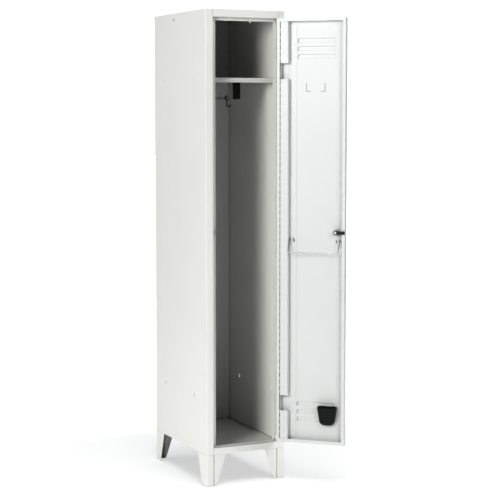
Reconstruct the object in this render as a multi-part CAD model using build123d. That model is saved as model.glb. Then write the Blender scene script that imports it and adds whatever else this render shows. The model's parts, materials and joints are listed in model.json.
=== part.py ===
from build123d import *
import os

# Steel clothes locker on four folded legs, millimetres, +Z up.
# The origin is the outer corner of the front left foot: x runs right, y runs back.
WIDTH = 330.0
DEPTH = 500.0
HEIGHT = 1800.0
LEG = 120.0
SHEET = 0.8
LEG_SHEET = 1.2
BEND = 2.0
CORNER_BEND = 3.0

# front frame
LEFT_POST = 30.0
RIGHT_POST = 26.0
TOP_RAIL = 28.0
BOTTOM_RAIL = 25.0
JAMB = 27.5
LEFT_STOP = 22.0
RIGHT_STOP = 11.0
BACK = DEPTH - 2.8
INNER_BACK = BACK - SHEET - 0.4
OPENING_LEFT = LEFT_POST
OPENING_RIGHT = WIDTH - RIGHT_POST
OPENING_LOW = LEG + BOTTOM_RAIL
OPENING_HIGH = HEIGHT - TOP_RAIL

# door, drawn shut and then swung about the hinge pin
DOOR_ANGLE = 136.0
PIN_X = 302.5
PIN_Y = -3.0
DOOR_LEFT = OPENING_LEFT + 3.0
DOOR_RIGHT = OPENING_RIGHT - 3.0
DOOR_LOW = OPENING_LOW + 9.0
DOOR_HIGH = OPENING_HIGH - 1.5
PAN = 26.0
LIP = 12.0

# hinge
PIN_RADIUS = 1.5
KNUCKLE_RADIUS = 2.7
KNUCKLE = 40.0
LEAF = 1.0
LEAF_WIDTH = 19.0
HINGE_LOW = 165.0
KNUCKLES = 40

# stiffener behind the hinge side of the door
CHANNEL_WALL = 286.2
CHANNEL_FAR = 257.2
CHANNEL_FOOT = 28.0
TOOTH = 6.0
TOOTH_PITCH = 26.0
NOTCH = 59.0
NOTCH_CENTRES = (305.0, 1572.5)

# louvres and card holder
LOUVRE_CENTRE_X = 151.5
LOUVRE_LENGTH = 150.0
LOUVRE_HEIGHT = 18.0
LOUVRE_OUT = 4.5
LOUVRE_PITCH = 30.0
LOUVRE_LOW = 241.5
LOUVRE_HIGH = 1628.0

# lock
LOCK_X = 69.5
LOCK_Z = 966.0
CAM_REACH = 36.5
CAM_HEIGHT = 12.0
CAM_BACK = 28.9
CAM_SHEET = 2.2

# umbrella bail and drip cup
BAIL_RIGHT = 252.5
BAIL_LEFT = 56.5
BAIL_Z = 937.0
BAIL_Y = 6.0
BAIL_OUT = 34.0
BAIL_DROP = 48.5
BAIL_HOLD = 15.0
WIRE = 1.75
CUP_X = 102.5
CUP_TOP = 297.5
CUP_LOW = 227.5

# inside
SHELF_TOP = 1549.0
SHELF_FRONT = 62.0
SHELF_FOLD = 18.0
FLOOR_TOP = 138.0
RAIL_X = WIDTH / 2
RAIL_Z = 1474.0
RAIL_RADIUS = 6.0
RAIL_FRONT = 80.0
RAIL_BACK = 490.0
SCREW_XS = (RAIL_X - 8, RAIL_X + 8)
SCREW_Y = 92.0
HOOK_Y = 167.0
FIXING_YS = (108.0, 394.0)
FIXING_Z = 1540.0


def folded(points, side, radius, plane, start, end, thickness=SHEET):
    # a strip of sheet folded along the points, running from start to end
    line = FilletPolyline(*points, radius=radius)
    face = make_face(offset(line, amount=thickness, side=side))
    return extrude(plane.offset(start) * face, amount=end - start)


def block(x0, x1, y0, y1, z0, z1):
    return Pos((x0 + x1) / 2, (y0 + y1) / 2, (z0 + z1) / 2) * Box(x1 - x0, y1 - y0, z1 - z0)


def mirrored(shape):
    # the same piece on the other side of the locker's width
    return Pos(WIDTH, 0, 0) * mirror(shape, about=Plane.YZ)


def backwards(shape):
    # the same piece on the other side of the locker's depth
    return Pos(0, DEPTH, 0) * mirror(shape, about=Plane.XZ)


def swung(shape):
    return Pos(PIN_X, PIN_Y, 0) * Rot(0, 0, DOOR_ANGLE) * Pos(-PIN_X, -PIN_Y, 0) * shape


def save(name, shape):
    export_step(shape, "parts/" + name + ".step")


# cabinet ---------------------------------------------------------------

def side_holes(x0, x1):
    # joining hole near the top, rivet holes for the shelf, spare shelf slots
    middle = (x0 + x1) / 2
    holes = Pos(middle, 301, 1776) * Rot(0, 90, 0) * Cylinder(4.5, x1 - x0)
    for y in FIXING_YS:
        holes += Pos(middle, y, FIXING_Z) * Rot(0, 90, 0) * Cylinder(2.1, x1 - x0)
        for z in (331.0, 339.0):
            holes += block(x0, x1, y, y + 9, z - 1.3, z + 1.3)
    return holes


def side_panel(post, stop):
    # rear return, side, front post, jamb and stop flange in one sheet
    path = [(15, DEPTH), (0, DEPTH), (0, 0), (post, 0), (post, JAMB), (post + stop, JAMB)]
    bends = (CORNER_BEND, CORNER_BEND, BEND, 0.4)
    panel = folded(path, Side.LEFT, bends, Plane.XY, LEG, HEIGHT - SHEET - 0.1)
    return panel - side_holes(-1, 2)


def left_side_panel():
    # the stop flange is notched at the height of the lock cam
    low = LOCK_Z - CAM_HEIGHT / 2 - 1.5
    high = LOCK_Z + CAM_HEIGHT / 2 + 1.5
    notch = block(LEFT_POST + 1.6, LEFT_POST + LEFT_STOP + 1, JAMB - 1, JAMB + 2, low, high)
    return side_panel(LEFT_POST, LEFT_STOP) - notch


def right_side_panel():
    return mirrored(side_panel(RIGHT_POST, RIGHT_STOP))


def back_panel():
    path = [(1.2, 487), (1.2, BACK), (WIDTH - 1.2, BACK), (WIDTH - 1.2, 487)]
    return folded(path, Side.RIGHT, BEND, Plane.XY, LEG + 2, HEIGHT - 1.2)


def top_panel():
    # roof, front rail, rail underside and stop lip
    lip = JAMB - 1.1
    path = [
        (INNER_BACK, HEIGHT - 14),
        (INNER_BACK, HEIGHT),
        (0, HEIGHT),
        (0, OPENING_HIGH),
        (lip, OPENING_HIGH),
        (lip, OPENING_HIGH - 12),
    ]
    panel = folded(path, Side.LEFT, BEND, Plane.YZ, OPENING_LEFT + 0.3, OPENING_RIGHT - 0.3)
    edge = [(2.6, HEIGHT - 14), (2.6, HEIGHT), (WIDTH - 2.6, HEIGHT), (WIDTH - 2.6, HEIGHT - 14)]
    roof = folded(edge, Side.RIGHT, BEND, Plane.XZ, -INNER_BACK, -30)
    return panel + roof + block(0, WIDTH, 0.3, DEPTH, HEIGHT - SHEET, HEIGHT)


def bottom_rail():
    lip = JAMB - 1.1
    path = [(0, LEG), (0, OPENING_LOW), (lip, OPENING_LOW), (lip, OPENING_LOW + 3)]
    return folded(path, Side.RIGHT, BEND, Plane.YZ, OPENING_LEFT + 0.3, OPENING_RIGHT - 0.3)


def floor_panel():
    # tongue under the front rail, flanges turned down all round
    path = [(2.8, 124), (2.8, FLOOR_TOP), (INNER_BACK, FLOOR_TOP), (INNER_BACK, 124)]
    tongue = folded(path, Side.RIGHT, BEND, Plane.YZ, 86, 244)
    edge = [(2.8, 124), (2.8, FLOOR_TOP), (WIDTH - 2.8, FLOOR_TOP), (WIDTH - 2.8, 124)]
    floor = folded(edge, Side.RIGHT, BEND, Plane.XZ, -INNER_BACK, -30)
    return tongue + floor


def hat_shelf():
    path = [
        (SHELF_FRONT + 8, SHELF_TOP - SHELF_FOLD),
        (SHELF_FRONT, SHELF_TOP - SHELF_FOLD),
        (SHELF_FRONT, SHELF_TOP),
        (INNER_BACK, SHELF_TOP),
        (INNER_BACK, SHELF_TOP - 15),
    ]
    shelf = folded(path, Side.RIGHT, BEND, Plane.YZ, 3.4, WIDTH - 3.4)
    edge = [(1.2, 1531), (1.2, SHELF_TOP), (WIDTH - 1.2, SHELF_TOP), (WIDTH - 1.2, 1531)]
    shelf += folded(edge, Side.RIGHT, BEND, Plane.XZ, -486, -SHELF_FRONT - 2)
    for y in FIXING_YS:
        shelf -= Pos(WIDTH / 2, y, FIXING_Z) * Rot(0, 90, 0) * Cylinder(2.1, WIDTH)
    for x in SCREW_XS:
        shelf -= Pos(x, SCREW_Y, SHELF_TOP) * Cylinder(1.9, 4)
    return shelf


def shelf_rivets():
    rivets = []
    for y in FIXING_YS:
        shank = Pos(1.0, y, FIXING_Z) * Rot(0, 90, 0) * Cylinder(2.05, 2.6)
        head = Pos(-0.5, y, FIXING_Z) * Rot(0, 90, 0) * Cylinder(3.2, 1.0)
        tail = Pos(2.6, y, FIXING_Z) * Rot(0, 90, 0) * Cylinder(3.0, 1.0)
        rivet = shank + head + tail
        rivets += [rivet, mirrored(rivet)]
    return Part() + rivets


def coat_rail():
    length = RAIL_BACK - RAIL_FRONT
    tube = Cylinder(RAIL_RADIUS, length) - Cylinder(RAIL_RADIUS - 1, length)
    return Pos(RAIL_X, RAIL_FRONT + length / 2, RAIL_Z) * Rot(90, 0, 0) * tube


def coat_rail_bracket():
    # moulded hanger under the shelf with a blind socket for the tube
    top = SHELF_TOP - SHEET
    low = 1468.0
    front = RAIL_FRONT - 6
    body = block(RAIL_X - 13, RAIL_X + 13, front, front + 12, low, top)
    body = fillet(body.edges().filter_by(Axis.Y).group_by(Axis.Z)[0], 6)
    body += block(RAIL_X - 13, RAIL_X + 13, front - 3, front + 24, top - 4, top)
    body -= Pos(RAIL_X, RAIL_FRONT + 10, RAIL_Z) * Rot(90, 0, 0) * Cylinder(RAIL_RADIUS + 0.05, 20)
    for x in SCREW_XS:
        body -= Pos(x, SCREW_Y, top - 2) * Cylinder(1.55, 5)
    return body


def bracket_screws():
    # driven up from below, with their slotted heads under the bracket's foot
    seat = SHELF_TOP - SHEET - 4
    screws = []
    for x in SCREW_XS:
        shank = Pos(x, SCREW_Y, (seat + SHELF_TOP) / 2 - 0.1) * Cylinder(1.5, SHELF_TOP - seat)
        head = Pos(x, SCREW_Y, seat - 1.1) * Cylinder(3, 2)
        slot = block(x - 4, x + 4, SCREW_Y - 0.4, SCREW_Y + 0.4, seat - 3, seat - 1.4)
        screws.append(shank + head - slot)
    return Part() + screws


def coat_rail_socket():
    # moulded cup on the back panel
    cup = Pos(RAIL_X, INNER_BACK - 7.6, RAIL_Z) * Rot(90, 0, 0) * Cylinder(10, 16)
    bore = Pos(RAIL_X, RAIL_BACK - 8, RAIL_Z) * Rot(90, 0, 0) * Cylinder(RAIL_RADIUS + 0.05, 16)
    flange = Pos(RAIL_X, INNER_BACK - 1.1, RAIL_Z) * Rot(90, 0, 0) * Cylinder(18, 3)
    return cup + flange - bore


def coat_hook():
    # sliding hook that hangs from the rail
    ring = Cylinder(9, 5) - Cylinder(RAIL_RADIUS + 0.4, 5)
    hook = Pos(RAIL_X, HOOK_Y, RAIL_Z) * Rot(90, 0, 0) * ring
    path = FilletPolyline(
        (RAIL_X, HOOK_Y, RAIL_Z - 7.8),
        (RAIL_X, HOOK_Y, RAIL_Z - 34),
        (RAIL_X + 14, HOOK_Y, RAIL_Z - 34),
        (RAIL_X + 14, HOOK_Y, RAIL_Z - 24),
        radius=6,
    )
    return hook + sweep(Plane(path @ 0, z_dir=path % 0) * Circle(2), path=path)


# legs ------------------------------------------------------------------

def leg_corner():
    # folded corner with a plumb front strip, returned along the seam, and a side that
    # widens upwards, flush below the body, with tongues that stand inside it
    shell = folded([(0, 90), (0, 0), (30, 0)], Side.LEFT, CORNER_BEND, Plane.XY, 0, LEG, LEG_SHEET)
    outline = Polyline((0, 0), (42, 0), (82, LEG), (0, LEG), close=True)
    shell &= extrude(Plane.YZ * make_face(outline), amount=30)
    shell += block(28.8, 30, 0, 9, 0, LEG - 0.8)
    shell += block(0, 2.4, 15, 76, LEG - LEG_SHEET, LEG)
    shell += block(8, 23.6, 0, 2.4, LEG - LEG_SHEET, LEG)
    shell += block(1.2, 2.4, 15, 76, LEG - LEG_SHEET, LEG + 26)
    shell += block(8, 23.6, 1.2, 2.4, LEG - LEG_SHEET, LEG + 26)
    seam = block(-1, 40, -1, 0.5, LEG - 0.7, LEG) + block(-1, 0.5, -1, 90, LEG - 0.7, LEG)
    return shell - seam


def leg_plate():
    # the tapered face beside the corner, returned along the seam, with its own tongue
    outline = Polyline((31.9, 0), (42, 0), (82, LEG), (31.9, LEG), close=True)
    plate = extrude(Plane.XZ * make_face(outline), amount=-LEG_SHEET)
    plate += block(31.9, 33.1, 0, 9, 0, LEG - 0.8)
    ledge = block(34, 80, 0, 2.4, LEG - LEG_SHEET, LEG)
    tongue = block(34, 80, 1.2, 2.4, LEG - LEG_SHEET, LEG + 14)
    return plate + ledge + tongue - block(0, 90, -1, 0.5, LEG - 0.7, LEG)


# door ------------------------------------------------------------------

def louvre_hood(centre_z, inset):
    # pressed-out hood, steep at its top, round at its upper corners, open along the bottom
    low = centre_z - LOUVRE_HEIGHT / 2
    high = centre_z + LOUVRE_HEIGHT / 2 - inset
    out = LOUVRE_OUT - inset
    corners = [(1.5, high), (0, high), (-out, high - 2.5), (-out, low), (1.5, low)]
    outline = make_face(Polyline(*corners, close=True))
    hood = extrude(Plane.YZ * outline, amount=LOUVRE_LENGTH / 2 - inset, both=True)
    cap = Rectangle(LOUVRE_LENGTH - 2 * inset, LOUVRE_HEIGHT - inset)
    cap = fillet(cap.vertices().group_by(Axis.Y)[-1], LOUVRE_HEIGHT / 2 - inset)
    prism = extrude(Plane.XZ * cap, amount=20, both=True)
    return Pos(LOUVRE_CENTRE_X, 0, 0) * (hood & (Pos(0, 0, centre_z - inset / 2) * prism))


def card_tab(corner, way):
    # lance cut through the skin, and the L tab lifted from it that grips a card
    slot = Polyline((0, 0), (16, 0), (16, 2.2), (2, 2.2), (2, 31), (0, 31), close=True)
    tab = Polyline((-1, -1), (17, -1), (17, 5), (5, 5), (5, 32), (-1, 32), close=True)
    root = Polyline((-1, -1), (17, -1), (17, 0), (0, 0), (0, 32), (-1, 32), close=True)
    cut = extrude(Plane.XZ * make_face(slot), amount=4, both=True)
    lifted = Pos(0, -1.2, 0) * extrude(Plane.XZ * make_face(tab), amount=SHEET)
    lifted += Pos(0, 0.3, 0) * extrude(Plane.XZ * make_face(root), amount=2)
    if way < 0:
        cut = mirror(cut, about=Plane.YZ)
        lifted = mirror(lifted, about=Plane.YZ)
    place = Pos(corner, 0, 1496)
    return place * cut, place * lifted


def door_panel():
    pan = block(DOOR_LEFT, DOOR_RIGHT, 0, PAN, DOOR_LOW, DOOR_HIGH)
    pan = fillet(pan.edges().group_by(Axis.Y)[0], 1.6)
    left = DOOR_LEFT + SHEET
    right = DOOR_RIGHT - SHEET
    inner = block(left, right, SHEET, PAN - SHEET, DOOR_LOW + SHEET, DOOR_HIGH - SHEET)
    pan -= fillet(inner.edges().group_by(Axis.Y)[0], 0.8)
    left = DOOR_LEFT + LIP
    right = DOOR_RIGHT - LIP
    pan -= block(left, right, SHEET + 2, PAN + 1, DOOR_LOW + LIP, DOOR_HIGH - LIP)
    for first in (LOUVRE_LOW, LOUVRE_HIGH):
        for row in range(3):
            centre = first + row * LOUVRE_PITCH
            pan += louvre_hood(centre, 0) & block(0, WIDTH, -10, 0.4, 0, HEIGHT)
            pan -= louvre_hood(centre, SHEET)
    for corner, way in ((191.5, -1), (118.0, 1)):
        cut, lifted = card_tab(corner, way)
        pan = pan - cut + lifted
    return pan - Pos(LOCK_X, 0, LOCK_Z) * Rot(90, 0, 0) * Cylinder(8.1, 6)


def door_stiffener():
    # hat channel on the hinge side, bridged to the lip by small welded teeth
    low = DOOR_LOW + LIP + 0.4
    high = DOOR_HIGH - LIP - 0.4
    foot = SHEET + 0.05
    crown = PAN - SHEET
    path = [
        (DOOR_RIGHT - 1.5, foot),
        (CHANNEL_WALL, foot),
        (CHANNEL_WALL, crown),
        (CHANNEL_FAR, crown),
        (CHANNEL_FAR, foot),
        (CHANNEL_FAR - CHANNEL_FOOT, foot),
    ]
    channel = folded(path, Side.RIGHT, 1.0, Plane.XY, low, high)
    edge = DOOR_RIGHT - LIP
    teeth = int((high - low) / TOOTH_PITCH)
    for row in range(1, teeth):
        z = low + row * TOOTH_PITCH
        channel += block(CHANNEL_WALL + 0.2, edge, crown, PAN, z - TOOTH / 2, z + TOOTH / 2)
    for centre in NOTCH_CENTRES:
        below = centre - NOTCH / 2
        above = centre + NOTCH / 2
        channel -= block(CHANNEL_FAR - 2, CHANNEL_WALL, foot + SHEET + 0.2, PAN + 1, below, above)
        channel -= block(CHANNEL_WALL, edge, crown - 1.2, PAN + 1, below, above)
    return channel


def hinge_leaf(first, x0, x1):
    # leaf with every second knuckle, bored for the pin
    leaf = block(x0, x1, 1.2, LEAF_WIDTH, HINGE_LOW, HINGE_LOW + KNUCKLES * KNUCKLE)
    for row in range(first, KNUCKLES, 2):
        low = HINGE_LOW + row * KNUCKLE + 0.2
        high = low + KNUCKLE - 0.4
        barrel = Pos(PIN_X, PIN_Y, (low + high) / 2) * Cylinder(KNUCKLE_RADIUS, high - low)
        leaf += barrel + block(x0, x1, PIN_Y + 1, 1.3, low, high)
    middle = HINGE_LOW + KNUCKLES * KNUCKLE / 2
    return leaf - Pos(PIN_X, PIN_Y, middle) * Cylinder(PIN_RADIUS + 0.06, KNUCKLES * KNUCKLE + 2)


def hinge_pin():
    middle = HINGE_LOW + KNUCKLES * KNUCKLE / 2
    return Pos(PIN_X, PIN_Y, middle) * Cylinder(PIN_RADIUS, KNUCKLES * KNUCKLE)


# lock ------------------------------------------------------------------

def along_lock(radius, y0, y1):
    return Pos(LOCK_X, (y0 + y1) / 2, LOCK_Z) * Rot(90, 0, 0) * Cylinder(radius, y1 - y0)


def lock_housing():
    barrel = along_lock(8, -0.1, 26.5) + along_lock(11, -2.5, -0.05)
    return barrel - along_lock(6.06, -3, 27)


def lock_nut():
    outline = RegularPolygon(11, 6, major_radius=False)
    nut = Pos(LOCK_X, 0, LOCK_Z) * extrude(Plane.XZ.offset(-6) * outline, amount=5.1)
    return nut - along_lock(8.06, 0, 7)


def lock_plug():
    plug = along_lock(6, -3, 27.2) + along_lock(4, 27, CAM_BACK + CAM_SHEET)
    plug += along_lock(7, 27.0, CAM_BACK)
    plug -= block(LOCK_X - 0.7, LOCK_X + 0.7, -4, 8, LOCK_Z - 4, LOCK_Z + 4)
    return plug - along_lock(1.6, CAM_BACK - 6, CAM_BACK + 4)


def lock_cam():
    top = CAM_BACK + CAM_SHEET
    low = LOCK_Z - CAM_HEIGHT / 2
    bar = block(LOCK_X - CAM_REACH, LOCK_X, CAM_BACK, top, low, low + CAM_HEIGHT)
    bar = fillet(bar.edges().filter_by(Axis.Y).group_by(Axis.X)[0], 2)
    return bar + along_lock(8.5, CAM_BACK, top) - along_lock(4.03, CAM_BACK - 1, top + 1)


def lock_screw():
    top = CAM_BACK + CAM_SHEET
    screw = along_lock(5.5, top + 0.05, top + 2.4) + along_lock(1.55, CAM_BACK - 5, top + 1)
    return screw - block(LOCK_X - 6, LOCK_X + 6, top + 1.6, top + 3, LOCK_Z - 0.6, LOCK_Z + 0.6)


# umbrella holder -------------------------------------------------------

def umbrella_bail():
    # the wire's ends point down and bear on the door, which holds the bail out
    near_tail = 2 * SHEET + WIRE + 0.35
    far_tail = SHEET + WIRE + 0.3
    path = FilletPolyline(
        (BAIL_RIGHT - BAIL_HOLD, near_tail, BAIL_Z - 12),
        (BAIL_RIGHT - BAIL_HOLD, BAIL_Y, BAIL_Z),
        (BAIL_RIGHT, BAIL_Y, BAIL_Z),
        (BAIL_RIGHT, BAIL_Y + BAIL_OUT, BAIL_Z - BAIL_DROP),
        (BAIL_LEFT, BAIL_Y + BAIL_OUT, BAIL_Z - BAIL_DROP),
        (BAIL_LEFT, BAIL_Y, BAIL_Z),
        (BAIL_LEFT + BAIL_HOLD, BAIL_Y, BAIL_Z),
        (BAIL_LEFT + BAIL_HOLD, far_tail, BAIL_Z - 12),
        radius=3.5,
    )
    return sweep(Plane(path @ 0, z_dir=path % 0) * Circle(WIRE), path=path)


def bail_clip(x, base):
    # bent strap that holds one end of the wire against the door
    strap = block(x - 3, x + 3, base, BAIL_Y + WIRE + 1, BAIL_Z - WIRE - 1, BAIL_Z + WIRE + 1)
    strap += block(x - 3, x + 3, base, base + 1, BAIL_Z - 6, BAIL_Z + 6)
    return strap - Pos(x, BAIL_Y, BAIL_Z) * Rot(0, 90, 0) * Cylinder(WIRE + 0.08, 10)


def bail_clips():
    near = bail_clip(BAIL_RIGHT - BAIL_HOLD / 2, SHEET * 2 + 0.1)
    far = bail_clip(BAIL_LEFT + BAIL_HOLD / 2, SHEET + 0.05)
    return near + far


def cup_section(width, depth, inset, z):
    # flat at the door, round in front
    width -= 2 * inset
    depth -= 2 * inset
    face = Pos(0, depth * 0.275) * Rectangle(width, depth * 0.55)
    face += Pos(0, depth * 0.55) * Ellipse(width / 2, depth * 0.45)
    face &= Pos(0, depth / 2) * Rectangle(width, depth)
    return Pos(CUP_X, 1.6 + inset, z) * face


def cup_body(inset):
    # tapering pocket with a rounded foot
    top = cup_section(72, 44, inset, CUP_TOP)
    waist = cup_section(56, 32, inset, CUP_LOW + 10 + inset)
    base = cup_section(40, 22, inset, CUP_LOW + inset)
    return loft([waist, top]) + loft([base, waist])


def drip_cup():
    # two hooks hang it on the door's edge below a louvre
    cup = cup_body(0) - cup_body(1.8)
    edge = LOUVRE_LOW + 2 * LOUVRE_PITCH - LOUVRE_HEIGHT / 2
    for x in (CUP_X - 18, CUP_X + 18):
        cup += block(x - 6, x + 6, -1.9, 2.4, edge + 0.4, edge + 2)
        cup += block(x - 6, x + 6, -1.9, -0.6, edge - 5.5, edge + 2)
    return cup


os.makedirs("parts", exist_ok=True)

save("left_side_panel", left_side_panel())
save("right_side_panel", right_side_panel())
save("back_panel", back_panel())
save("top_panel", top_panel())
save("bottom_rail", bottom_rail())
save("floor_panel", floor_panel())
save("hat_shelf", hat_shelf())
save("shelf_rivets", shelf_rivets())
save("coat_rail", coat_rail())
save("coat_rail_bracket", coat_rail_bracket())
save("bracket_screws", bracket_screws())
save("coat_rail_socket", coat_rail_socket())
save("coat_hook", coat_hook())

corner = leg_corner()
plate = leg_plate()
save("front_left_leg", corner)
save("front_right_leg", mirrored(corner))
save("rear_left_leg", backwards(corner))
save("rear_right_leg", mirrored(backwards(corner)))
save("front_left_leg_plate", plate)
save("front_right_leg_plate", mirrored(plate))
save("rear_left_leg_plate", backwards(plate))
save("rear_right_leg_plate", mirrored(backwards(plate)))

save("hinge_frame_leaf", hinge_leaf(0, PIN_X + 0.5, PIN_X + 0.5 + LEAF))
save("hinge_pin", hinge_pin())
save("hinge_door_leaf", swung(hinge_leaf(1, PIN_X - 0.5 - LEAF, PIN_X - 0.5)))
save("door_panel", swung(door_panel()))
save("door_stiffener", swung(door_stiffener()))
save("lock_housing", swung(lock_housing()))
save("lock_nut", swung(lock_nut()))
save("lock_plug", swung(lock_plug()))
save("lock_cam", swung(lock_cam()))
save("lock_screw", swung(lock_screw()))
save("umbrella_bail", swung(umbrella_bail()))
save("bail_clips", swung(bail_clips()))
save("drip_cup", swung(drip_cup()))
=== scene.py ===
import json
import math

import bpy
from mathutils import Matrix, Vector

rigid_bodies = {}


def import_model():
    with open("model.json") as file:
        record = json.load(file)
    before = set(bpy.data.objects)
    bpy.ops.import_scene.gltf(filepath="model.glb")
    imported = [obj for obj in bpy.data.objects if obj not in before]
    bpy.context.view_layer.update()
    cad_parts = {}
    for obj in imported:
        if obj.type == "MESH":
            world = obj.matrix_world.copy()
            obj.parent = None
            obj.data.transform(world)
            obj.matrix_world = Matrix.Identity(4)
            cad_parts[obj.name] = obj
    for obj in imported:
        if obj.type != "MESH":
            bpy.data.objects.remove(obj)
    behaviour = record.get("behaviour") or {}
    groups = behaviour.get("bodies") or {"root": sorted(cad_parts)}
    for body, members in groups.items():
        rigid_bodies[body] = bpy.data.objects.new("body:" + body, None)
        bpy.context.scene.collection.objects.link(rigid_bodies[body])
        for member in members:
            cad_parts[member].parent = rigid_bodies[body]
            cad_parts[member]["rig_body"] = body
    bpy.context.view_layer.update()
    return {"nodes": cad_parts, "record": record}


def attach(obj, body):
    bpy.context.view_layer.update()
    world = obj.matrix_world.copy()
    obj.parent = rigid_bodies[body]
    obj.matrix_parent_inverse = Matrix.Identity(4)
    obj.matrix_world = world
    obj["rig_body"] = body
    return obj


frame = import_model()
nodes = frame["nodes"]
print("frame loaded:", len(nodes), "nodes")


def deselectAll():
    for thing in bpy.context.selected_objects:
        thing.select_set(False)


def makeActive(thing):
    deselectAll()
    thing.select_set(True)
    bpy.context.view_layer.objects.active = thing


def addNode(tree, kind, **settings):
    node = tree.nodes.new(kind)
    for name, value in settings.items():
        setattr(node, name, value)
    return node


def mathNode(tree, operation, first, second=None, clamp=False):
    node = addNode(tree, "ShaderNodeMath", operation=operation, use_clamp=clamp)
    for socket, value in zip(node.inputs, (first, second)):
        if value is None:
            continue
        if isinstance(value, (int, float)):
            socket.default_value = value
        else:
            tree.links.new(value, socket)
    return node.outputs[0]


def noiseNode(tree, place, scale, detail=2.0, roughness=0.5):
    node = addNode(tree, "ShaderNodeTexNoise")
    node.inputs["Detail"].default_value = detail
    node.inputs["Roughness"].default_value = roughness
    tree.links.new(place, node.inputs["Vector"])
    if isinstance(scale, (int, float)):
        node.inputs["Scale"].default_value = scale
    else:
        tree.links.new(scale, node.inputs["Scale"])
    return node.outputs["Fac"]


def rampNode(tree, value, low, high):
    node = addNode(tree, "ShaderNodeMapRange", clamp=True)
    tree.links.new(value, node.inputs["Value"])
    node.inputs["From Min"].default_value = low
    node.inputs["From Max"].default_value = high
    return node.outputs["Result"]


def between(tree, value, low, high):
    node = addNode(tree, "ShaderNodeMapRange", clamp=True)
    tree.links.new(value, node.inputs["Value"])
    node.inputs["To Min"].default_value = low
    node.inputs["To Max"].default_value = high
    return node.outputs["Result"]


def startGroup(name, inputs, outputs):
    group = bpy.data.node_groups.new(name, "ShaderNodeTree")
    for label, value in inputs:
        socket = group.interface.new_socket(label, in_out="INPUT", socket_type="NodeSocketFloat")
        socket.default_value = value
    for label in outputs:
        group.interface.new_socket(label, in_out="OUTPUT", socket_type="NodeSocketFloat")
    given = addNode(group, "NodeGroupInput")
    result = addNode(group, "NodeGroupOutput")
    return group, given, result


def useGroup(tree, group, **values):
    node = addNode(tree, "ShaderNodeGroup", node_tree=group)
    for name, value in values.items():
        node.inputs[name].default_value = value
    return node


# where each mask starts and where it is full
masks = {
    "edgeTurn": (0.02, 0.3),
    "edgePatch": (0.3, 0.7),
    "speck": (0.66, 0.74),
    "upward": (0.6, 0.98),
    "dustPatch": (0.38, 0.72),
    "creviceShadePatch": (0.86, 1.0),
}
peelShare = 0.8
speckShare = 0.2
lineShare = 0.5


def makeEdgeWearAndHighlight():
    # rounded-edge mask: where a small bevel would turn the surface, paint is thin or rubbed, and the
    # lighter colour laid there is also a painted highlight along the bends
    group, given, result = startGroup("edgeWearAndHighlight", [("Radius", 0.002), ("Breakup", 60.0)], ["Mask"])
    bevel = addNode(group, "ShaderNodeBevel", samples=4)
    group.links.new(given.outputs["Radius"], bevel.inputs["Radius"])
    surface = addNode(group, "ShaderNodeNewGeometry")
    dot = addNode(group, "ShaderNodeVectorMath", operation="DOT_PRODUCT")
    group.links.new(bevel.outputs["Normal"], dot.inputs[0])
    group.links.new(surface.outputs["Normal"], dot.inputs[1])
    turned = mathNode(group, "SUBTRACT", 1.0, dot.outputs["Value"], clamp=True)
    edge = rampNode(group, turned, *masks["edgeTurn"])
    place = addNode(group, "ShaderNodeTexCoord").outputs["Object"]
    patches = noiseNode(group, place, given.outputs["Breakup"], detail=4.0)
    mask = mathNode(group, "MULTIPLY", edge, rampNode(group, patches, *masks["edgePatch"]))
    group.links.new(mask, result.inputs["Mask"])
    return group


def makePowderGrain():
    # orange peel of a powder coat, slow tone drift and fine specks
    inputs = [("Peel", 420.0), ("Drift", 2.2), ("Specks", 1500.0)]
    group, given, result = startGroup("powderGrain", inputs, ["Height", "Tone", "Speck"])
    place = addNode(group, "ShaderNodeTexCoord").outputs["Object"]
    peel = noiseNode(group, place, given.outputs["Peel"], detail=1.5)
    specks = noiseNode(group, place, given.outputs["Specks"], detail=1.0)
    peeled = mathNode(group, "MULTIPLY", peel, peelShare)
    height = mathNode(group, "ADD", peeled, mathNode(group, "MULTIPLY", specks, speckShare))
    drift = noiseNode(group, place, given.outputs["Drift"], detail=3.0, roughness=0.6)
    group.links.new(height, result.inputs["Height"])
    group.links.new(drift, result.inputs["Tone"])
    group.links.new(rampNode(group, specks, *masks["speck"]), result.inputs["Speck"])
    return group


def makeSettledDust():
    # a thin, patchy film on what faces up
    group, given, result = startGroup("settledDust", [("Patch", 7.0), ("Fine", 190.0)], ["Mask"])
    surface = addNode(group, "ShaderNodeNewGeometry")
    parts = addNode(group, "ShaderNodeSeparateXYZ")
    group.links.new(surface.outputs["Normal"], parts.inputs[0])
    upward = rampNode(group, parts.outputs["Z"], *masks["upward"])
    place = addNode(group, "ShaderNodeTexCoord").outputs["Object"]
    clouds = noiseNode(group, place, given.outputs["Patch"], detail=5.0)
    patches = rampNode(group, clouds, *masks["dustPatch"])
    fine = noiseNode(group, place, given.outputs["Fine"], detail=2.0)
    mask = mathNode(group, "MULTIPLY", mathNode(group, "MULTIPLY", upward, patches), fine)
    group.links.new(mask, result.inputs["Mask"])
    return group


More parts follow.
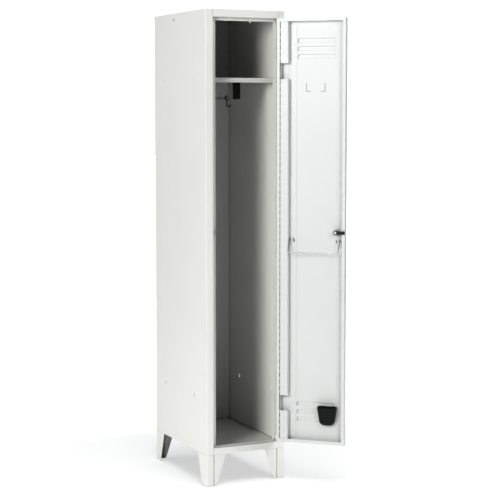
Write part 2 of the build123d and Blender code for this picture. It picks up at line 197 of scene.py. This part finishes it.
def makePaintedCreviceShade():
    # painted shade: a near-black colour laid deep in slots, seams and folded corners, where shade
    # falls
    inputs = [("Reach", 0.008), ("Open", 0.34), ("Shut", 0.66), ("Patch", 30.0)]
    group, given, result = startGroup("creviceShade", inputs, ["Mask"])
    hollow = addNode(group, "ShaderNodeAmbientOcclusion", samples=6)
    group.links.new(given.outputs["Reach"], hollow.inputs["Distance"])
    deep = mathNode(group, "SUBTRACT", 1.0, hollow.outputs["AO"], clamp=True)
    place = addNode(group, "ShaderNodeTexCoord").outputs["Object"]
    clouds = noiseNode(group, place, given.outputs["Patch"], detail=3.0)
    patches = between(group, clouds, *masks["creviceShadePatch"])
    ramp = addNode(group, "ShaderNodeMapRange", clamp=True)
    group.links.new(deep, ramp.inputs["Value"])
    group.links.new(given.outputs["Open"], ramp.inputs["From Min"])
    group.links.new(given.outputs["Shut"], ramp.inputs["From Max"])
    mask = mathNode(group, "MULTIPLY", ramp.outputs["Result"], patches)
    group.links.new(mask, result.inputs["Mask"])
    return group


def makeDrawnGrain():
    # fine lines along one axis, as on drawn wire, rolled strip and turned metal
    inputs = [("Across", 900.0), ("Along", 12.0), ("Cloud", 30.0)]
    group, given, result = startGroup("drawnGrain", inputs, ["Height", "Tone"])
    place = addNode(group, "ShaderNodeTexCoord").outputs["Object"]
    stretch = addNode(group, "ShaderNodeCombineXYZ")
    group.links.new(given.outputs["Across"], stretch.inputs["X"])
    group.links.new(given.outputs["Across"], stretch.inputs["Y"])
    group.links.new(given.outputs["Along"], stretch.inputs["Z"])
    scaled = addNode(group, "ShaderNodeVectorMath", operation="MULTIPLY")
    group.links.new(place, scaled.inputs[0])
    group.links.new(stretch.outputs[0], scaled.inputs[1])
    lines = noiseNode(group, scaled.outputs[0], 1.0, detail=3.0)
    cloud = noiseNode(group, place, given.outputs["Cloud"], detail=3.0)
    group.links.new(lines, result.inputs["Height"])
    lined = mathNode(group, "MULTIPLY", lines, lineShare)
    clouded = mathNode(group, "MULTIPLY", cloud, 1 - lineShare)
    tone = mathNode(group, "ADD", lined, clouded)
    group.links.new(tone, result.inputs["Tone"])
    return group


def makeMouldGrain():
    # spark-eroded texture of a plastic moulding
    inputs = [("Grain", 1300.0), ("Flow", 25.0)]
    group, given, result = startGroup("mouldGrain", inputs, ["Height", "Tone"])
    place = addNode(group, "ShaderNodeTexCoord").outputs["Object"]
    cells = addNode(group, "ShaderNodeTexVoronoi", feature="SMOOTH_F1")
    group.links.new(place, cells.inputs["Vector"])
    group.links.new(given.outputs["Grain"], cells.inputs["Scale"])
    group.links.new(cells.outputs["Distance"], result.inputs["Height"])
    group.links.new(noiseNode(group, place, given.outputs["Flow"], detail=3.0), result.inputs["Tone"])
    return group


edgeWearAndHighlight = makeEdgeWearAndHighlight()
powderGrain = makePowderGrain()
settledDust = makeSettledDust()
drawnGrain = makeDrawnGrain()
mouldGrain = makeMouldGrain()
creviceShade = makePaintedCreviceShade()
print("shader groups built")


def startFinish(name, metallic=0.0, specular=0.5, coat=0.0, coatRoughness=0.1):
    finish = bpy.data.materials.new(name)
    finish.use_nodes = True
    tree = finish.node_tree
    shader = tree.nodes["Principled BSDF"]
    shader.inputs["Metallic"].default_value = metallic
    shader.inputs["Specular IOR Level"].default_value = specular
    shader.inputs["Coat Weight"].default_value = coat
    shader.inputs["Coat Roughness"].default_value = coatRoughness
    return finish, tree, shader


def mixColour(tree, mask, first, second):
    # mask may be a socket or a number; first and second are colours or sockets
    node = addNode(tree, "ShaderNodeMix", data_type="RGBA")
    for socket, value in ((node.inputs[0], mask), (node.inputs[6], first), (node.inputs[7], second)):
        if hasattr(value, "is_output"):
            tree.links.new(value, socket)
        elif isinstance(value, (int, float)):
            socket.default_value = value
        else:
            socket.default_value = (*value, 1.0)
    return node.outputs[2]


def bumpFrom(tree, shader, height, strength, distance, edgeRadius):
    # the bump rides on edges that are slightly rounded
    rounded = addNode(tree, "ShaderNodeBevel", samples=4)
    rounded.inputs["Radius"].default_value = edgeRadius
    bump = addNode(tree, "ShaderNodeBump")
    tree.links.new(rounded.outputs["Normal"], bump.inputs["Normal"])
    bump.inputs["Strength"].default_value = strength
    bump.inputs["Distance"].default_value = distance
    tree.links.new(height, bump.inputs["Height"])
    tree.links.new(bump.outputs["Normal"], shader.inputs["Normal"])


paint = {
    "light": (0.775, 0.775, 0.756),
    "dark": (0.735, 0.736, 0.72),
    "bareAndHighlight": (0.86, 0.86, 0.85),
    "dust": (0.62, 0.6, 0.56),
    # colour of the painted shade laid into crevices
    "paintedShade": (0.025, 0.025, 0.027),
    "roughLow": 0.36,
    "roughHigh": 0.5,
    "peelHeight": 0.00006,
    "peelStrength": 0.35,
    "edgeRadius": 0.0006,
    "wearAndHighlight": {"Radius": 0.0016, "Breakup": 45.0},
    "slots": {"Reach": 0.008, "Open": 0.34, "Shut": 0.66},
    "pockets": {"Reach": 0.03, "Open": 0.66, "Shut": 0.86},
    "speckShare": 0.25,
    "wearAndHighlightShare": 0.6,
    "dustShare": 0.35,
    "paintedShadeShare": 0.97,
    "dustRough": 0.3,
}


def makePaint(name):
    finish, tree, shader = startFinish(name, specular=0.45, coat=0.12, coatRoughness=0.22)
    grain = useGroup(tree, powderGrain)
    wearAndHighlight = useGroup(tree, edgeWearAndHighlight, **paint["wearAndHighlight"])
    film = useGroup(tree, settledDust)
    # painted shade: slots (short reach) and larger pockets (long reach) darkened almost to black by an
    # occlusion mask
    slots = useGroup(tree, creviceShade, **paint["slots"])
    pockets = useGroup(tree, creviceShade, **paint["pockets"])
    paintedShade = mathNode(tree, "MAXIMUM", slots.outputs["Mask"], pockets.outputs["Mask"])
    base = mixColour(tree, grain.outputs["Tone"], paint["dark"], paint["light"])
    speckMask = mathNode(tree, "MULTIPLY", grain.outputs["Speck"], paint["speckShare"])
    specked = mixColour(tree, speckMask, base, paint["dark"])
    # edges lightened: thin, worn paint and a painted highlight along the bends
    wearAndHighlightMask = mathNode(tree, "MULTIPLY", wearAndHighlight.outputs["Mask"], paint["wearAndHighlightShare"])
    wornAndHighlit = mixColour(tree, wearAndHighlightMask, specked, paint["bareAndHighlight"])
    dustMask = mathNode(tree, "MULTIPLY", film.outputs["Mask"], paint["dustShare"])
    dusty = mixColour(tree, dustMask, wornAndHighlit, paint["dust"])
    paintedShadeMask = mathNode(tree, "MULTIPLY", paintedShade, paint["paintedShadeShare"])
    withPaintedShade = mixColour(tree, paintedShadeMask, dusty, paint["paintedShade"])
    tree.links.new(withPaintedShade, shader.inputs["Base Color"])
    rough = between(tree, grain.outputs["Tone"], paint["roughLow"], paint["roughHigh"])
    dull = mathNode(tree, "MULTIPLY", film.outputs["Mask"], paint["dustRough"])
    tree.links.new(mathNode(tree, "ADD", rough, dull, clamp=True), shader.inputs["Roughness"])
    peel = grain.outputs["Height"]
    bumpFrom(tree, shader, peel, paint["peelStrength"], paint["peelHeight"], paint["edgeRadius"])
    return finish


zinc = {
    "light": (0.7, 0.71, 0.72),
    "dark": (0.42, 0.43, 0.44),
    "roughLow": 0.3,
    "roughHigh": 0.46,
    "grain": {"Across": 900.0, "Along": 14.0},
}
nickel = {
    "light": (0.58, 0.58, 0.57),
    "dark": (0.32, 0.32, 0.315),
    "roughLow": 0.26,
    "roughHigh": 0.42,
    "grain": {"Across": 1400.0, "Along": 200.0},
}
steel = {
    "light": (0.07, 0.07, 0.073),
    "dark": (0.03, 0.03, 0.032),
    "roughLow": 0.3,
    "roughHigh": 0.46,
    "grain": {"Across": 700.0, "Along": 40.0},
}
metal = {
    "wearAndHighlight": {"Radius": 0.0008, "Breakup": 150.0},
    "wearAndHighlightShare": 0.5,
    "grainStrength": 0.25,
    "grainHeight": 0.00004,
    "edgeRadius": 0.0004,
}


def makeMetal(name, look):
    finish, tree, shader = startFinish(name, metallic=1.0)
    grain = useGroup(tree, drawnGrain, **look["grain"])
    wearAndHighlight = useGroup(tree, edgeWearAndHighlight, **metal["wearAndHighlight"])
    base = mixColour(tree, grain.outputs["Tone"], look["dark"], look["light"])
    # edges lightened: wear and a painted highlight
    wearAndHighlightMask = mathNode(tree, "MULTIPLY", wearAndHighlight.outputs["Mask"], metal["wearAndHighlightShare"])
    tree.links.new(mixColour(tree, wearAndHighlightMask, base, look["light"]), shader.inputs["Base Color"])
    rough = between(tree, grain.outputs["Tone"], look["roughLow"], look["roughHigh"])
    tree.links.new(rough, shader.inputs["Roughness"])
    lines = grain.outputs["Height"]
    bumpFrom(tree, shader, lines, metal["grainStrength"], metal["grainHeight"], metal["edgeRadius"])
    return finish


moulding = {
    "light": (0.009, 0.009, 0.0095),
    "dark": (0.005, 0.005, 0.0055),
    "rubbedAndHighlight": (0.09, 0.09, 0.092),
    "dust": (0.3, 0.29, 0.27),
    "roughLow": 0.38,
    "roughHigh": 0.56,
    "wearAndHighlight": {"Radius": 0.0012, "Breakup": 90.0},
    "wearAndHighlightShare": 0.5,
    "dustShare": 0.25,
    "grainStrength": 0.35,
    "grainHeight": 0.00008,
    "edgeRadius": 0.0008,
}


def makePlastic(name, look):
    finish, tree, shader = startFinish(name, specular=0.45)
    grain = useGroup(tree, mouldGrain)
    wearAndHighlight = useGroup(tree, edgeWearAndHighlight, **look["wearAndHighlight"])
    film = useGroup(tree, settledDust)
    base = mixColour(tree, grain.outputs["Tone"], look["dark"], look["light"])
    # edges lightened: rubbed plastic and a painted highlight
    wearAndHighlightMask = mathNode(tree, "MULTIPLY", wearAndHighlight.outputs["Mask"], look["wearAndHighlightShare"])
    wornAndHighlit = mixColour(tree, wearAndHighlightMask, base, look["rubbedAndHighlight"])
    dustMask = mathNode(tree, "MULTIPLY", film.outputs["Mask"], look["dustShare"])
    tree.links.new(mixColour(tree, dustMask, wornAndHighlit, look["dust"]), shader.inputs["Base Color"])
    rough = between(tree, grain.outputs["Tone"], look["roughLow"], look["roughHigh"])
    tree.links.new(rough, shader.inputs["Roughness"])
    cells = grain.outputs["Height"]
    bumpFrom(tree, shader, cells, look["grainStrength"], look["grainHeight"], look["edgeRadius"])
    return finish


finishes = {
    "grey_paint": makePaint("lightGreyPowderCoat"),
    "zinc_plate": makeMetal("brightZinc", zinc),
    "nickel_plate": makeMetal("turnedNickel", nickel),
    "dark_steel": makeMetal("oiledSteel", steel),
    "black_plastic": makePlastic("blackMoulding", moulding),
}
slotOf = {row["node"]: row["material_slot"] for row in frame["record"]["subparts"]}
for name, node in nodes.items():
    node.data.materials.clear()
    node.data.materials.append(finishes[slotOf[name]])
print("finishes made:", ", ".join(finishes))


hinge = {"pin": (0.3025, -0.003), "open": 136.0}
lockAxis = {"x": 0.0695, "z": 0.966}


def dressPiece(piece, name, body, slot):
    piece.name = name
    piece.data.name = name
    piece.data.materials.clear()
    piece.data.materials.append(finishes[slot])
    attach(piece, body)


def selectFaces(piece, test):
    bpy.ops.object.mode_set(mode="OBJECT")
    mesh = piece.data
    for part in (mesh.vertices, mesh.edges, mesh.polygons):
        part.foreach_set("select", [False] * len(part))
    for face in mesh.polygons:
        face.select = test(face)
    bpy.ops.object.mode_set(mode="EDIT")
    bpy.ops.mesh.select_mode(type="FACE")


def openWithDoor(piece):
    # modelled on the shut door, then turned about the hinge pin to where the door stands
    makeActive(piece)
    bpy.ops.object.transform_apply(location=True, rotation=True, scale=True)
    bpy.ops.object.mode_set(mode="EDIT")
    bpy.ops.mesh.select_all(action="SELECT")
    centre = (*hinge["pin"], 0.0)
    turn = -math.radians(hinge["open"])
    bpy.ops.transform.rotate(value=turn, orient_axis="Z", center_override=centre)
    bpy.ops.object.mode_set(mode="OBJECT")


def copyPiece(piece, shift):
    twin = piece.copy()
    twin.data = piece.data.copy()
    bpy.context.scene.collection.objects.link(twin)
    twin.location = piece.location + Vector(shift)
    return twin


def joinPieces(pieces):
    makeActive(pieces[0])
    for piece in pieces:
        piece.select_set(True)
    bpy.ops.object.join()
    return bpy.context.active_object


spotWeld = {
    "sides": 28,
    "radius": 0.0034,
    "height": 0.00045,
    "rim": 0.0011,
    "step": 0.4,  # width of the step inside the rim, as a share of the rim
    "sink": 0.0003,
    "soft": 0.00018,
    "softSteps": 2,
    "face": 0.0017,  # the channel foot's inner side
    "columns": (0.236, 0.249),
    "first": 0.262,
    "pitch": 0.176,
    "stagger": 0.04,
    "count": 9,
    "smooth": 40,
}


def makeSpotWelds():
    # pressed rings where the channel foot is welded to the door skin
    deselectAll()
    height = spotWeld["height"]
    bpy.ops.mesh.primitive_cylinder_add(
        vertices=spotWeld["sides"],
        radius=spotWeld["radius"],
        depth=height,
        location=(spotWeld["columns"][0], spotWeld["face"] + height / 2, spotWeld["first"]),
        rotation=(math.radians(-90), 0.0, 0.0),
    )
    first = bpy.context.active_object
    selectFaces(first, lambda face: face.normal.z > 0.9)
    bpy.ops.mesh.inset(thickness=spotWeld["rim"], depth=0.0)
    bpy.ops.mesh.inset(thickness=spotWeld["rim"] * spotWeld["step"], depth=-spotWeld["sink"])
    bpy.ops.object.mode_set(mode="OBJECT")
    soft = first.modifiers.new("softRim", "BEVEL")
    soft.width = spotWeld["soft"]
    soft.segments = spotWeld["softSteps"]
    soft.limit_method = "ANGLE"
    bpy.ops.object.modifier_apply(modifier=soft.name)
    marks = [first]
    for column, x in enumerate(spotWeld["columns"]):
        for row in range(spotWeld["count"]):
            if column or row:
                rise = row * spotWeld["pitch"] + column * spotWeld["stagger"]
                marks.append(copyPiece(first, (x - spotWeld["columns"][0], 0.0, rise)))
    welds = joinPieces(marks)
    openWithDoor(welds)
    bpy.ops.object.shade_smooth_by_angle(angle=math.radians(spotWeld["smooth"]))
    dressPiece(welds, "channelSpotWelds", "door", "grey_paint")


thread = {
    "root": 0.0079,
    "core": 0.00805,
    "crest": 0.0085,
    "start": 0.0078,
    "pitch": 0.0014,
    "turns": 12,
    "steps": 36,
    "weld": 0.00001,
    "smooth": 30,
}


def makeBarrelThread():
    # thread on the lock barrel, between its nut and the cam: one tooth profile spun into a ring
    # and stacked, so it has no lead
    deselectAll()
    base = thread["start"]
    bpy.ops.mesh.primitive_plane_add(size=1.0, location=(0.0, 0.0, 0.0))
    ring = bpy.context.active_object
    corners = (
        (thread["root"], base),
        (thread["core"], base),
        (thread["core"], base + thread["pitch"]),
        (thread["root"], base + thread["pitch"]),
    )
    inPlaneOrder = (corners[0], corners[1], corners[3], corners[2])
    for vertex, corner in zip(ring.data.vertices, inPlaneOrder):
        vertex.co = (lockAxis["x"] + corner[0], corner[1], lockAxis["z"])
    selectFaces(ring, lambda face: False)
    bpy.ops.mesh.select_mode(type="EDGE")
    bpy.ops.object.mode_set(mode="OBJECT")
    for edge in ring.data.edges:
        ends = [ring.data.vertices[i].co.x - lockAxis["x"] for i in edge.vertices]
        edge.select = min(ends) > thread["core"] - 1e-6
    bpy.ops.object.mode_set(mode="EDIT")
    bpy.ops.mesh.subdivide(number_cuts=1)
    bpy.ops.object.mode_set(mode="OBJECT")
    halfway = base + thread["pitch"] / 2
    middle = max(ring.data.vertices, key=lambda v: v.co.x - 10 * abs(v.co.y - halfway))
    middle.co.x = lockAxis["x"] + thread["crest"]
    bpy.ops.object.mode_set(mode="EDIT")
    bpy.ops.mesh.select_all(action="SELECT")
    # only the outline is spun, so that no face is left inside the ring
    bpy.ops.mesh.delete(type="ONLY_FACE")
    bpy.ops.mesh.select_all(action="SELECT")
    bpy.ops.mesh.spin(
        steps=thread["steps"],
        angle=2 * math.pi,
        center=(lockAxis["x"], 0.0, lockAxis["z"]),
        axis=(0.0, 1.0, 0.0),
    )
    bpy.ops.mesh.select_all(action="SELECT")
    bpy.ops.mesh.remove_doubles(threshold=thread["weld"])
    bpy.ops.mesh.normals_make_consistent(inside=False)
    bpy.ops.object.mode_set(mode="OBJECT")
    rings = [ring]
    for turn in range(1, thread["turns"]):
        rings.append(copyPiece(ring, (0.0, thread["pitch"] * turn, 0.0)))
    sleeve = joinPieces(rings)
    openWithDoor(sleeve)
    bpy.ops.object.shade_smooth_by_angle(angle=math.radians(thread["smooth"]))
    dressPiece(sleeve, "lockBarrelThread", "door", "nickel_plate")


washer = {
    "inner": 0.0083,
    "outer": 0.0122,
    "tooth": 0.0012,
    "teeth": 14,
    "sidesPerTooth": 4,
    "low": 0.0061,
    "high": 0.0071,
    "smooth": 30,
}


def makeStarWasher():
    # toothed washer that keeps the lock nut from working loose
    deselectAll()
    depth = washer["high"] - washer["low"]
    bpy.ops.mesh.primitive_cylinder_add(
        vertices=washer["teeth"] * washer["sidesPerTooth"],
        radius=washer["outer"],
        depth=depth,
        location=(lockAxis["x"], (washer["low"] + washer["high"]) / 2, lockAxis["z"]),
        rotation=(math.radians(-90), 0.0, 0.0),
    )
    star = bpy.context.active_object
    for vertex in star.data.vertices:
        turn = math.atan2(vertex.co.y, vertex.co.x) / (2 * math.pi) * washer["teeth"]
        if round(turn * washer["sidesPerTooth"]) % washer["sidesPerTooth"] >= 2:
            vertex.co.xy *= 1 - washer["tooth"] / washer["outer"]
    selectFaces(star, lambda face: abs(face.normal.z) > 0.9)
    width = washer["outer"] - washer["tooth"] - washer["inner"]
    bpy.ops.mesh.inset(thickness=width, depth=0.0)
    bpy.ops.mesh.bridge_edge_loops()
    bpy.ops.mesh.select_all(action="SELECT")
    bpy.ops.mesh.normals_make_consistent(inside=False)
    bpy.ops.object.mode_set(mode="OBJECT")
    openWithDoor(star)
    bpy.ops.object.shade_smooth_by_angle(angle=math.radians(washer["smooth"]))
    dressPiece(star, "lockStarWasher", "door", "zinc_plate")


makeSpotWelds()
makeBarrelThread()
makeStarWasher()
print("door and lock details added")


stage = {
    "floorSize": 80.0,
    "floorDrop": 0.0005,
    "floorSeen": 0.34,  # how much light the paper floor gives back to the camera
    "floorBlue": 1.01,
    "floorBounce": 0.65,  # and to the object
    "glowNear": 0.41,  # the paper is lit from below, more so far out
    "glowFar": 0.95,
    "glowFrom": 0.9,
    "glowTo": 3.2,
    "skySeen": 1.0,
    "skyLight": 0.29,
    "skyFront": 0.3,  # share of it that is left in front of the object
    "skyFrontFull": -0.8,
    "skyFrontEnd": 0.1,
    "skyColour": (0.94, 0.97, 1.0, 1.0),
}
carcassAim = (0.2, 0.0, 0.85)
doorAim = (0.35, -0.05, 1.3)
coolWhite = (0.965, 0.985, 1.0)
lamps = {
    "leftBox": {
        "place": (-4.83, -3.02, 2.1),
        "aim": carcassAim,
        "size": 2.2,
        "power": 198.0,
        "colour": (1.0, 0.988, 0.95),
        "lights": "carcass",
    },
    "rightBox": {
        "place": (5.9, -3.29, 3.24),
        "aim": carcassAim,
        "size": 2.4,
        "power": 200.0,
        "colour": (1.0, 0.995, 0.975),
        "lights": "carcass",
    },
    "doorSideBox": {
        "place": (-3.04, -2.01, 2.13),
        "aim": doorAim,
        "size": 1.4,
        "power": 54.0,
        "colour": coolWhite,
        "lights": "door",
    },
    "doorFrontBox": {
        "place": (-0.08, -4.1, 2.32),
        "aim": doorAim,
        "size": 1.8,
        "power": 36.0,
        "colour": coolWhite,
        "lights": "door",
    },
    "doorEndBox": {
        "place": (4.67, -3.68, 3.35),
        "aim": doorAim,
        "size": 2.4,
        "power": 50.0,
        "colour": coolWhite,
        "lights": "door",
    },
    "doorOutsideBox": {
        "place": (3.05, 3.95, 2.59),
        "aim": doorAim,
        "size": 2.0,
        "power": 80.0,
        "colour": (0.985, 0.995, 1.0),
        "lights": "door",
    },
    "roofBox": {
        "place": (0.17, 0.9, 4.9),
        "aim": (0.17, 0.25, 1.8),
        "size": 2.0,
        "power": 38.0,
        "colour": (1.0, 1.0, 1.0),
        "lights": "carcass",
    },
    "floorBox": {
        "place": (0.1, -0.9, 4.3),
        "aim": (0.2, 0.0, 0.0),
        "size": 4.0,
        "power": 210.0,
        "colour": (1.0, 1.0, 1.0),
        "lights": "floor",
    },
}


def makeFloor():
    deselectAll()
    bpy.ops.mesh.primitive_plane_add(size=stage["floorSize"], location=(0, 0, -stage["floorDrop"]))
    floor = bpy.context.active_object
    floor.name = "studioFloor"
    paper = bpy.data.materials.new("paperFloor")
    paper.use_nodes = True
    tree = paper.node_tree
    tree.nodes.clear()
    place = addNode(tree, "ShaderNodeTexCoord").outputs["Object"]
    reach = addNode(tree, "ShaderNodeVectorMath", operation="LENGTH")
    tree.links.new(place, reach.inputs[0])
    spread = rampNode(tree, reach.outputs["Value"], stage["glowFrom"], stage["glowTo"])
    glow = addNode(tree, "ShaderNodeEmission")
    tree.links.new(between(tree, spread, stage["glowNear"], stage["glowFar"]), glow.inputs["Strength"])
    seen = addNode(tree, "ShaderNodeBsdfDiffuse")
    shade = stage["floorSeen"]
    seen.inputs["Color"].default_value = (shade, shade, shade * stage["floorBlue"], 1.0)
    lit = addNode(tree, "ShaderNodeAddShader")
    tree.links.new(glow.outputs[0], lit.inputs[0])
    tree.links.new(seen.outputs[0], lit.inputs[1])
    bounce = addNode(tree, "ShaderNodeBsdfDiffuse")
    bounce.inputs["Color"].default_value = (*[stage["floorBounce"]] * 3, 1.0)
    rays = addNode(tree, "ShaderNodeLightPath")
    mix = addNode(tree, "ShaderNodeMixShader")
    tree.links.new(rays.outputs["Is Camera Ray"], mix.inputs[0])
    tree.links.new(bounce.outputs[0], mix.inputs[1])
    tree.links.new(lit.outputs[0], mix.inputs[2])
    output = addNode(tree, "ShaderNodeOutputMaterial")
    tree.links.new(mix.outputs[0], output.inputs["Surface"])
    floor.data.materials.append(paper)


def litBy(part):
    # light linking: each lamp lights either the carcass, the door with what it carries, or the floor
    onDoor = ("door", "lock", "bail", "cup")
    lit = []
    for thing in bpy.data.objects:
        body = thing.get("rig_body")
        side = "door" if body in onDoor else "carcass" if body else "floor"
        if thing.type == "MESH" and side == part:
            lit.append(thing)
    return lit


def makeLamp(name, lamp):
    light = bpy.data.lights.new(name, "AREA")
    light.shape = "DISK"
    light.size = lamp["size"]
    light.energy = lamp["power"]
    light.color = lamp["colour"]
    holder = bpy.data.objects.new(name, light)
    bpy.context.scene.collection.objects.link(holder)
    holder.location = lamp["place"]
    direction = Vector(lamp["aim"]) - Vector(lamp["place"])
    holder.rotation_euler = direction.to_track_quat("-Z", "Y").to_euler()
    holder.visible_camera = False
    flagged = bpy.data.collections.new(name + "Flag")
    for piece in litBy(lamp["lights"]):
        flagged.objects.link(piece)
    holder.light_linking.receiver_collection = flagged


def makeSky():
    # white behind everything, but a dimmer sky as far as the lighting goes
    world = bpy.data.worlds.new("studioSky")
    world.use_nodes = True
    tree = world.node_tree
    tree.nodes.clear()
    seen = addNode(tree, "ShaderNodeBackground")
    seen.inputs["Strength"].default_value = stage["skySeen"]
    lit = addNode(tree, "ShaderNodeBackground")
    lit.inputs["Color"].default_value = stage["skyColour"]
    towards = addNode(tree, "ShaderNodeSeparateXYZ")
    tree.links.new(addNode(tree, "ShaderNodeTexCoord").outputs["Generated"], towards.inputs[0])
    behind = rampNode(tree, towards.outputs["Y"], stage["skyFrontFull"], stage["skyFrontEnd"])
    strength = between(tree, behind, stage["skyLight"] * stage["skyFront"], stage["skyLight"])
    tree.links.new(strength, lit.inputs["Strength"])
    rays = addNode(tree, "ShaderNodeLightPath")
    mix = addNode(tree, "ShaderNodeMixShader")
    tree.links.new(rays.outputs["Is Camera Ray"], mix.inputs[0])
    tree.links.new(lit.outputs[0], mix.inputs[1])
    tree.links.new(seen.outputs[0], mix.inputs[2])
    output = addNode(tree, "ShaderNodeOutputWorld")
    tree.links.new(mix.outputs[0], output.inputs["Surface"])
    bpy.context.scene.world = world


lens = {
    "place": (-2.167, -4.8206, 1.4124),
    "yaw": 0.4536,
    "pitch": 0.0818,
    "focal": 1417.2,
    "imageSide": 500,
    "sensor": 36.0,
    "shift": -0.04,
    "clipEnd": 200.0,
}


def makeCamera():
    data = bpy.data.cameras.new("camera")
    data.sensor_width = lens["sensor"]
    data.lens = lens["focal"] / lens["imageSide"] * lens["sensor"]
    data.shift_y = lens["shift"]
    data.clip_end = lens["clipEnd"]
    camera = bpy.data.objects.new("camera", data)
    bpy.context.scene.collection.objects.link(camera)
    camera.location = lens["place"]
    camera.rotation_euler = (math.pi / 2 - lens["pitch"], 0.0, -lens["yaw"])
    bpy.context.scene.camera = camera


makeFloor()
for name, lamp in lamps.items():
    makeLamp(name, lamp)
makeSky()
makeCamera()
bpy.context.scene.view_settings.view_transform = "Standard"
bpy.context.scene.view_settings.look = "High Contrast"
print("stage, lights and camera placed")
